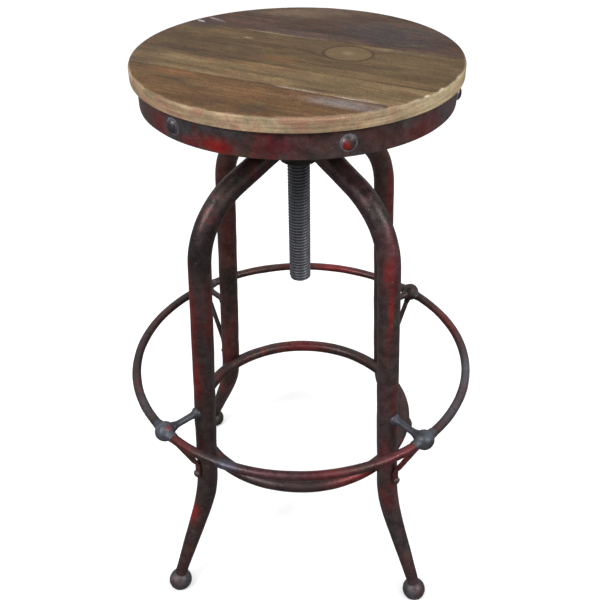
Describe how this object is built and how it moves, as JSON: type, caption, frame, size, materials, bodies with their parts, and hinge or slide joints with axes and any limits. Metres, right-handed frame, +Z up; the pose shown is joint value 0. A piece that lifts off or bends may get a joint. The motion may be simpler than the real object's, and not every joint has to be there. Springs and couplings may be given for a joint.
{
  "type": "bar stool",
  "caption": "Screw-adjustable bar stool: round plank seat on a riveted steel band, arched tube legs, outer foot ring on ball joints and a stouter inner ring.",
  "frame": {"origin": "on the floor under the screw's axis", "axes": "+Z up along the screw; the legs stand between the X and Y axes"},
  "size_m": [0.4508, 0.4508, 0.7],
  "materials": {
    "red_patina_steel": "dark gunmetal patina with rubbed red paint, satin",
    "dark_patina_steel": "dark brown-black patina, satin",
    "bare_worn_steel": "blue-grey worn steel, dull",
    "zinc_fasteners": "dull plated",
    "brown_plank": "reclaimed board, orange-brown, matt wax",
    "olive_plank": "reclaimed board, olive-tan, matt wax",
    "tan_plank": "reclaimed board, olive-brown, matt wax",
    "grey_plank": "reclaimed board, dark grey-brown, matt wax",
    "black_washer": "matt"
  },
  "bodies": {
    "frame": {"hub": "red_patina_steel", "hub_nut": "bare_worn_steel", "leg_1": "red_patina_steel", "leg_2": "red_patina_steel", "leg_3": "red_patina_steel", "leg_4": "red_patina_steel", "foot_1": "bare_worn_steel", "foot_2": "bare_worn_steel", "foot_3": "bare_worn_steel", "foot_4": "bare_worn_steel", "outer_ring": "dark_patina_steel", "inner_ring": "red_patina_steel", "ring_ball_1": "bare_worn_steel", "ring_ball_2": "bare_worn_steel", "ring_ball_3": "bare_worn_steel", "ring_ball_4": "bare_worn_steel", "upper_strut_1": "dark_patina_steel", "upper_strut_2": "dark_patina_steel", "upper_strut_3": "dark_patina_steel", "upper_strut_4": "dark_patina_steel", "lower_brace_1": "dark_patina_steel", "lower_brace_2": "dark_patina_steel", "lower_brace_3": "dark_patina_steel", "lower_brace_4": "dark_patina_steel", "brace_rivet_1": "dark_patina_steel", "brace_rivet_2": "dark_patina_steel", "brace_rivet_3": "dark_patina_steel", "brace_rivet_4": "dark_patina_steel"},
    "riser": {"thrust_washer": "black_washer"},
    "seat": {"height_screw": "bare_worn_steel", "seat_flange": "dark_patina_steel", "flange_bolt_1": "zinc_fasteners", "flange_bolt_2": "zinc_fasteners", "flange_bolt_3": "zinc_fasteners", "flange_bolt_4": "zinc_fasteners", "boss_pin": "zinc_fasteners", "seat_spider": "dark_patina_steel", "wood_screw_1": "zinc_fasteners", "wood_screw_2": "zinc_fasteners", "wood_screw_3": "zinc_fasteners", "wood_screw_4": "zinc_fasteners", "wood_screw_5": "zinc_fasteners", "wood_screw_6": "zinc_fasteners", "wood_screw_7": "zinc_fasteners", "wood_screw_8": "zinc_fasteners", "seat_plank_1": "brown_plank", "seat_plank_2": "olive_plank", "seat_plank_3": "tan_plank", "seat_plank_4": "grey_plank", "apron_band": "red_patina_steel", "apron_rivet_1": "red_patina_steel", "apron_rivet_2": "red_patina_steel", "apron_rivet_3": "red_patina_steel", "apron_rivet_4": "red_patina_steel", "apron_rivet_5": "red_patina_steel", "apron_rivet_6": "red_patina_steel"}
  },
  "joints": [
    {"name": "seat_height", "type": "slide", "parent": "frame", "child": "riser", "axis": [0, 0, 1], "range_m": [0, 0.121]},
    {"name": "seat_turn", "type": "hinge", "parent": "riser", "child": "seat", "pos_m": [0, 0, 0.6286], "axis": [0, 0, 1], "range_deg": [0, 10886]}
  ],
  "couplings": [
    {"joint": "seat_height", "follows": "seat_turn", "m_per_rad": 0.00063662}
  ]
}
